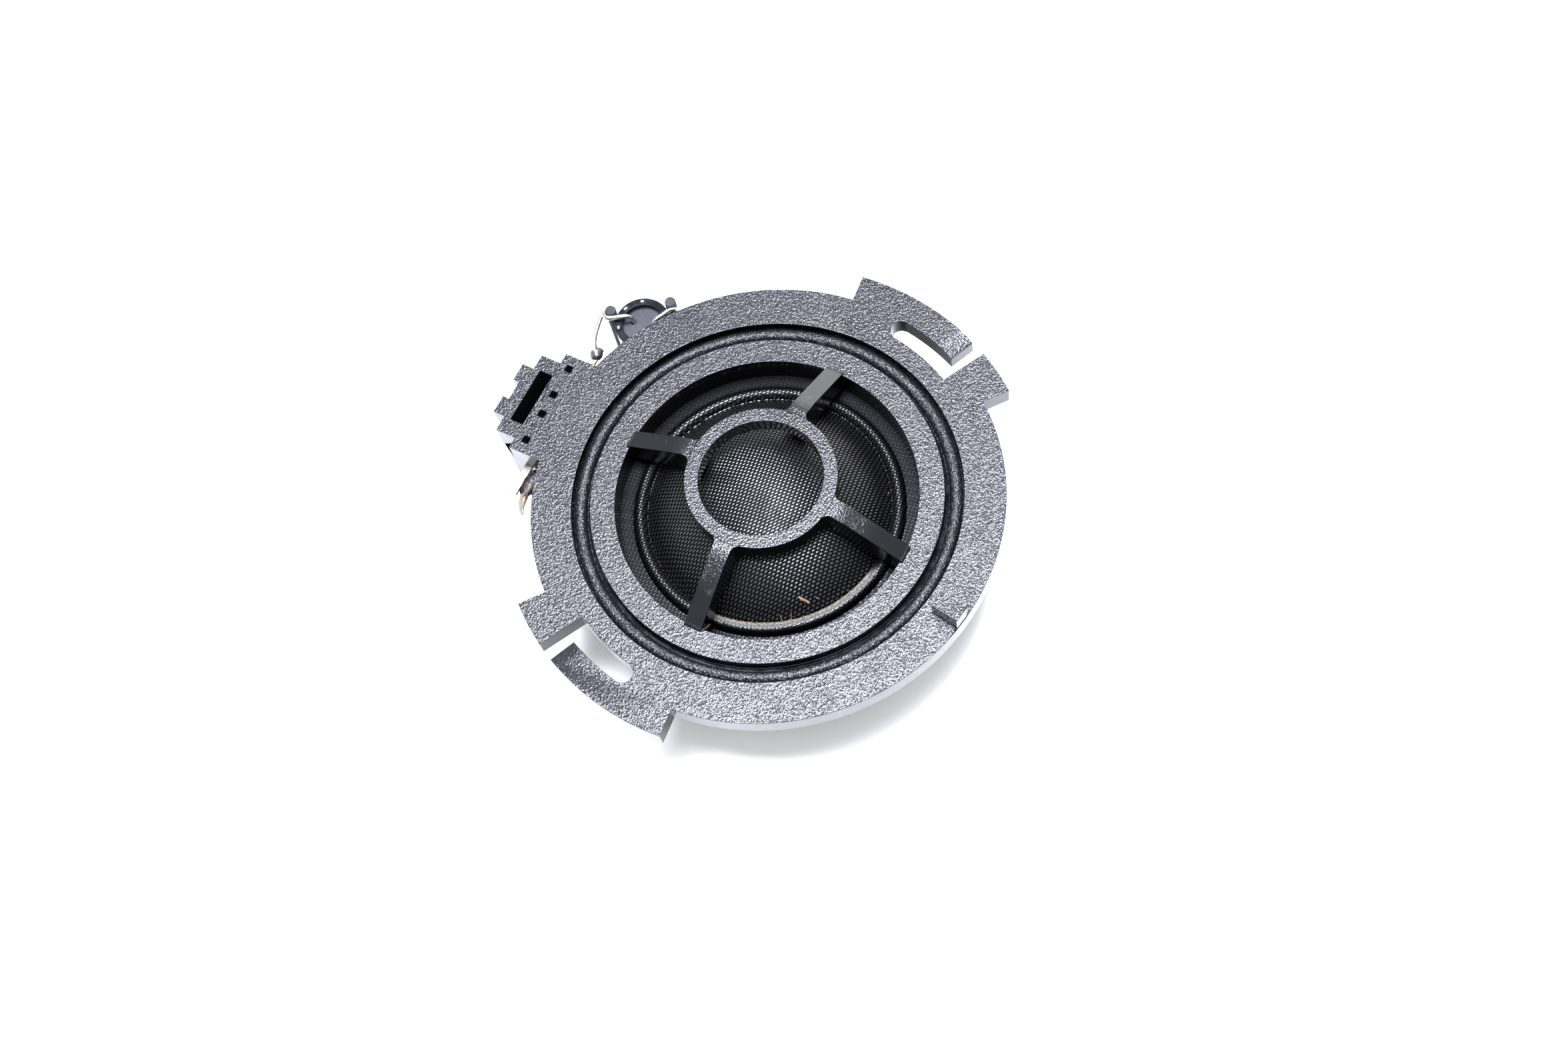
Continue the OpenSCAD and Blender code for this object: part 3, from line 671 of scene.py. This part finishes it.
def sweep(name, points, radii, key, sides=16, steps=6, flat=1.0):
    """A round bar along a route in millimetres, with rounded ends.

    radii is one number, or a list with one for each point. flat squeezes the section.
    """
    path = smooth_route(points, steps)
    if not isinstance(radii, (list, tuple)):
        radii = [radii] * len(points)
    along = np.interp(np.linspace(0, len(points) - 1, len(path)), range(len(points)), radii)
    last = len(path) - 1
    tangents = [(path[min(i + 1, last)] - path[max(i - 1, 0)]).normalized() for i in range(len(path))]
    side = tangents[0].orthogonal().normalized()
    bm = bmesh.new()
    rows = []

    def ring(centre, tangent, radius):
        u = (side - tangent * side.dot(tangent)).normalized()
        v = tangent.cross(u)
        row = []
        for k in range(sides):
            a = 2 * math.pi * k / sides
            row.append(bm.verts.new((centre + (u * math.cos(a) + v * math.sin(a) * flat) * radius) * MM))
        return row, u

    for shrink, out in END_RINGS:
        rows.append(ring(path[0] - tangents[0] * along[0] * out * END_LENGTH, tangents[0], along[0] * shrink)[0])
    for point, tangent, radius in zip(path, tangents, along):
        row, side = ring(point, tangent, radius)
        rows.append(row)
    for shrink, out in reversed(END_RINGS):
        end = path[-1] + tangents[-1] * along[-1] * out * END_LENGTH
        rows.append(ring(end, tangents[-1], along[-1] * shrink)[0])
    for here, there in zip(rows, rows[1:]):
        for k in range(sides):
            bm.faces.new((here[k], here[(k + 1) % sides], there[(k + 1) % sides], there[k]))
    bm.faces.new(rows[0][::-1])
    bm.faces.new(rows[-1])
    bmesh.ops.recalc_face_normals(bm, faces=bm.faces)
    mesh = to_mesh(bm, name)
    shade(mesh, 60)
    return new_object(name, mesh, key)


def lump(name, centre, size, key, seed, rough):
    """A blob of solder: a sphere pulled about by smooth waves."""
    rng = random.Random(seed)
    waves = [(Vector([rng.uniform(-1, 1) for _ in range(3)]) * rng.uniform(1.5, 4), rng.uniform(0, 6.28))
             for _ in range(7)]
    bm = bmesh.new()
    bmesh.ops.create_icosphere(bm, subdivisions=4, radius=1)
    for v in bm.verts:
        push = sum(math.sin(w.dot(v.co) + phase) for w, phase in waves) / len(waves)
        co = v.co * (1 + rough * push)
        v.co = Vector((centre[i] + co[i] * size[i] for i in range(3))) * MM
    mesh = to_mesh(bm, name)
    shade(mesh, 80)
    return new_object(name, mesh, key)


# ---------------------------------------------------------------- front frame


def make_frame():
    """The front moulding: grain on its front faces and its bead, gloss on its walls."""
    mesh = eased_copy("front_frame", "frame_shell", "grain", "gloss", width=0.06, clamp=False).data
    centres = read(mesh.polygons, "center") / MM
    r, z = np.hypot(centres[:, 0], centres[:, 1]), centres[:, 2]
    front = (read(mesh.polygons, "normal")[:, 2] > 0.8) & (z > FLANGE_TOP - 0.6)
    bead = (r > BEAD_R0) & (r < BEAD_R1 + 0.05) & (z > 1.0) & (z < 1.9)
    mesh.polygons.foreach_set("material_index", np.where(front | bead, 0, 1).astype(np.int32))


make_frame()

# ---------------------------------------------------------------- diaphragm

WEAVE_RISE = 0.012
DOME_COARSE = 8


def weave_height(x, y):
    """The cloth's relief at those places: the material's waves, without their wander."""
    a = 2 * math.pi * (x * WEAVE_A[0] + y * WEAVE_A[1])
    b = 2 * math.pi * (x * WEAVE_B[0] + y * WEAVE_B[1])
    return SHARE_A * np.cos(a) + SHARE_B * np.cos(b) + SHARE_SUM * np.cos(a + b)


def make_dome():
    """The cloth dome: the threads' crowns are in its outer face, and its inner face is plain and coarser."""
    rings, around = 120, 640
    r = np.linspace(0, 1, rings + 1)[1:] ** 0.92 * DOME_R
    a = np.arange(around) * 2 * math.pi / around
    rr, aa = np.meshgrid(r, a, indexing="ij")
    x, y = rr * np.cos(aa), rr * np.sin(aa)
    rise = WEAVE_RISE * (weave_height(x, y) - 0.9)
    edge = np.clip((DOME_R - rr) / 0.8, 0, 1)
    z = DOME_CENTRE_Z + np.sqrt(DOME_SPHERE_R ** 2 - rr ** 2) + rise * edge
    inner_r = DOME_SPHERE_R - CLOTH_T
    zi = DOME_CENTRE_Z + np.sqrt(inner_r ** 2 - np.minimum(rr, DOME_R - 0.02) ** 2)
    top = np.stack([x, y, z], -1).reshape(-1, 3)
    keep = (slice(None, None, DOME_COARSE), slice(None, None, DOME_COARSE))
    under = np.stack([x[keep], y[keep], zi[keep]], -1)
    rim = np.stack([x[-1], y[-1], zi[-1]], -1)
    verts = [(0, 0, DOME_CENTRE_Z + DOME_SPHERE_R - 0.005)] + top.tolist()
    faces = [(0, 1 + k, 1 + (k + 1) % around) for k in range(around)]
    for i in range(rings - 1):
        base = 1 + i * around
        for k in range(around):
            j = (k + 1) % around
            faces.append((base + k, base + around + k, base + around + j, base + j))
    start = len(verts)
    verts += rim.tolist()
    last = 1 + (rings - 1) * around
    for k in range(around):
        j = (k + 1) % around
        faces.append((last + k, start + k, start + j, last + j))
    inner_rings, inner_around = under.shape[:2]
    base0 = len(verts)
    verts += under[::-1].reshape(-1, 3).tolist()
    verts.append((0, 0, DOME_CENTRE_Z + inner_r))
    for k in range(inner_around):
        group = [start + (DOME_COARSE * k + q) % around for q in range(DOME_COARSE + 1)]
        faces.append(tuple(group + [base0 + (k + 1) % inner_around, base0 + k]))
    for i in range(inner_rings - 1):
        b = base0 + i * inner_around
        for k in range(inner_around):
            j = (k + 1) % inner_around
            faces.append((b + k, b + j, b + inner_around + j, b + inner_around + k))
    b = base0 + (inner_rings - 1) * inner_around
    tip = len(verts) - 1
    for k in range(inner_around):
        faces.append((b + k, b + (k + 1) % inner_around, tip))
    mesh = bpy.data.meshes.new("dome_cloth")
    mesh.from_pydata([tuple(c * MM for c in v) for v in verts], [], faces)
    mesh.validate()
    shade(mesh, 50)
    stand_for(new_object("dome_cloth", mesh, "weave"), "dome", "diaphragm")


make_dome()


def make_surround():
    """Half roll, flat edge and the lip at the dome's foot, one closed ring of cloth."""
    outer = [(DOME_R + 0.03, CLOTH_FRONT_Z - 0.2), (DOME_R + 0.03, -0.9), (DOME_R + 0.08, -0.855),
             (DOME_R + 0.16, -0.86)]
    half = ROLL_HALF - 0.005
    for k in range(1, 18):
        a = math.pi * (1 - k / 18)
        outer.append((ROLL_MID + half * math.cos(a), LEG_TOP_Z + half * math.sin(a)))
    outer += [(ROLL_R1 - 0.01, -0.94), (ROLL_R1 + 0.02, -0.985), (ROLL_R1 + 0.1, CLOTH_FRONT_Z)]
    outer += [(r, CLOTH_FRONT_Z) for r in (14.9, 15.3, 15.7, 16.1, 16.5, APERTURE_EDGE)]
    inner = [(APERTURE_EDGE, -1.245), (ROLL_R1 - 0.2, -1.245)]
    half = ROLL_HALF - CLOTH_T
    for k in range(1, 12):
        a = math.pi * k / 12
        inner.append((ROLL_MID + half * math.cos(a), LEG_TOP_Z + half * math.sin(a)))
    inner += [(ROLL_R0 + 0.22, CLOTH_FRONT_Z - 0.24), (DOME_R + 0.06, CLOTH_FRONT_Z - 0.24)]
    obj = lathe("surround_cloth", outer + inner, 720, "weave")
    mesh = obj.data
    co = read(mesh.vertices, "co").astype(float) / MM
    x, y = co[:, 0], co[:, 1]
    r = np.hypot(x, y)
    front = (r > ROLL_R0 + 0.1) & (co[:, 2] > CLOTH_FRONT_Z - 0.01)
    lift = WEAVE_RISE * (weave_height(x, y) - 0.95) * front
    co[:, 2] += lift * np.clip((16.9 - r) / 0.3, 0, 1)
    mesh.vertices.foreach_set("co", (co * MM).astype(np.float32).ravel())
    shade(mesh, 50)
    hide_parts("surround")
    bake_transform(obj)


make_surround()

# ---------------------------------------------------------------- capacitor, leads, terminals


def polar(r, a, z, centre=(0.0, 0.0)):
    """The point at radius r and angle a, in degrees, round centre."""
    return (centre[0] + r * math.cos(math.radians(a)), centre[1] + r * math.sin(math.radians(a)), z)


POSTS = [polar(POST_REACH, a, 0, CAP)[:2] for a in POST_ANGLES]


def near_post(i, a, z):
    """Where a lead's centre runs as it passes post i, on the side at angle a."""
    return polar((POST_D + 2 * LEAD_R) / 2 + 0.09, a, z, POSTS[i])


def make_leads():
    over = -0.25 + LEAD_R + 0.2
    bung = -1.05
    lead = sweep("lead_1_wire", [
        (CAP[0] - 1.25, CAP[1], bung - 0.9), (CAP[0] - 1.25, CAP[1], bung + 0.3),
        (CAP[0] - 1.75, CAP[1] - 0.25, over), near_post(0, 300, over + 0.1), near_post(0, 255, over + 0.05),
        near_post(0, 205, over - 0.2), (-BAR_U - 0.9, 10.45, BAR_Z + 0.9), (-BAR_U, LUG_Y - 1.0, BAR_Z + 0.45)],
        LEAD_R, "tin", steps=8)
    stand_for(lead, "capacitor_lead_1")
    lead = sweep("lead_2_wire", [
        (CAP[0] + 1.25, CAP[1], bung - 0.9), (CAP[0] + 1.25, CAP[1], bung + 0.3),
        (-21.9, 14.8, over - 0.15), (-21.5, 15.55, over - 0.05), near_post(1, 295, over - 0.05),
        near_post(1, 325, over - 0.2), near_post(1, 350, over - 0.8), near_post(1, 355, over - 2.2)],
        LEAD_R, "tin", steps=8)
    stand_for(lead, "capacitor_lead_2")


make_leads()


def make_lead_outs():
    """The two wires from beside the coil to the lug and to the capacitor's second lead."""
    z = -2.05
    for i, turn, end in ((1, 197, [(-24.3, -8.6, z + 0.25), (-25.2, -8.85, BAR_Z - 0.35)]),
                         (2, 140, [polar(22.6, 138.5, z), near_post(1, 335, -1.8)])):
        route = [polar(r, turn, z) for r in (13.9, 17.0, 20.2)] + end
        wire = sweep(f"lead_out_{i}_wire", route, LEAD_OUT_R, "copper", 12, 8)
        stand_for(wire, f"lead_out_wire_{i}")


make_lead_outs()


def make_solder():
    """The three joints, and the flux that has run off the first."""
    for i, centre, size, seed, rough in (
        (1, (-BAR_U + 1.05, -LUG_Y + 1.8, BAR_Z - 0.1), (0.78, 1.95, 0.45), 3, 0.2),
        (2, (-BAR_U, LUG_Y - 0.8, BAR_Z + 0.1), (0.74, 0.8, 0.68), 5, 0.12),
        (3, near_post(1, 345, -1.8), (0.48, 0.5, 0.5), 8, 0.12),
    ):
        stand_for(lump(f"solder_lump_{i}", centre, size, "solder", seed, rough), f"solder_joint_{i}")
    tail = sweep("flux_run", [(-25.15, -9.2, BAR_Z - 0.1), (-25.1, -9.7, BAR_Z), (-24.95, -10.3, BAR_Z - 0.05),
                              (-24.7, -10.85, BAR_Z - 0.15), (-24.28, -11.4, BAR_Z - 0.2)],
                 [0.45, 0.7, 0.62, 0.42, 0.22], "resin", flat=0.6)
    loose(tail)


make_solder()

# ---------------------------------------------------------------- posts, lint

for i, (px, py) in enumerate(POSTS, 1):
    route = [(px, py, z) for z in (-10.8, -5.0, 0.32)]
    loose(sweep(f"post_{i}_skin", route, POST_SKIN_R, "post", 40))

for name, points, radii in (
    ("fleck", [(7.9, -8.2, 0.66), (8.3, -8.24, 0.44), (8.55, -8.16, 0.30), (8.95, -8.15, 0.02)],
     [0.10, 0.17, 0.12, 0.15]),
    ("fleck_small", [(9.45, -7.36, 0.1), (9.62, -7.3, 0.02)], 0.06),
    ("hair_1", [(8.03, -10.44, -0.62), (7.88, -10.1, -0.3), (7.78, -9.84, -0.02)], [0.035, 0.025, 0.018]),
    ("hair_2", [(7.25, -10.9, -0.62), (6.95, -10.68, -0.36), (6.75, -10.5, -0.26)], [0.03, 0.022, 0.018]),
    ("speck_1", [(10.75, 6.67, -0.56), (10.84, 6.62, -0.60)], 0.06),
    ("speck_2", [(12.45, 4.68, -1.02), (12.5, 4.62, -1.06)], 0.05),
):
    loose(sweep(name, points, radii, "lint", 10, 5), "diaphragm")
FIBRE = [(1.04, -14.75, 0.85), (1.08, -15.4, 1.5), (1.05, -16.1, 2.26)]
loose(sweep("fibre", FIBRE, 0.04, "lint", 10, 5))

# ---------------------------------------------------------------- the other CAD nodes


for node, name, key, width in (
    ("rear_carrier", "carrier_shell", "satin", 0.12), ("pole_cup", "cup_shell", "steel", 0.2),
    ("magnet", "magnet_disc", "nickel", 0.2), ("pole_plate", "plate_disc", "steel", 0.12),
    ("clamp_ring", "clamp_shell", "satin", 0.08), ("capacitor_can", "can_shell", "can", 0.05),
    ("capacitor_bung", "bung_plug", "rubber", 0.08), ("capacitor_sleeve", "sleeve_film", "sleeve", 0.05),
    ("terminal_1", "terminal_bar_1", "brass", 0.05), ("terminal_2", "terminal_bar_2", "brass", 0.05),
):
    eased_copy(node, name, key, width=width)
eased_copy("damping_felt", "felt_pad", "felt", width=0.25, segments=3)
eased_copy("coil_former", "former_tube", "film", width=0.03, body="diaphragm")
eased_copy("coil_winding", "winding_turns", "copper", width=0.05, body="diaphragm")

# ---------------------------------------------------------------- floor


def make_floor():
    """A pale table top, 0.01 mm under the object."""
    bm = bmesh.new()
    bmesh.ops.create_grid(bm, x_segments=8, y_segments=8, size=1.6)
    obj = bpy.data.objects.new("floor", to_mesh(bm, "floor"))
    COLLECTION.objects.link(obj)
    obj.data.materials.append(floor_material())
    obj.location = (0, 0, CAD_BOX[0].z - 0.01 * MM)


make_floor()
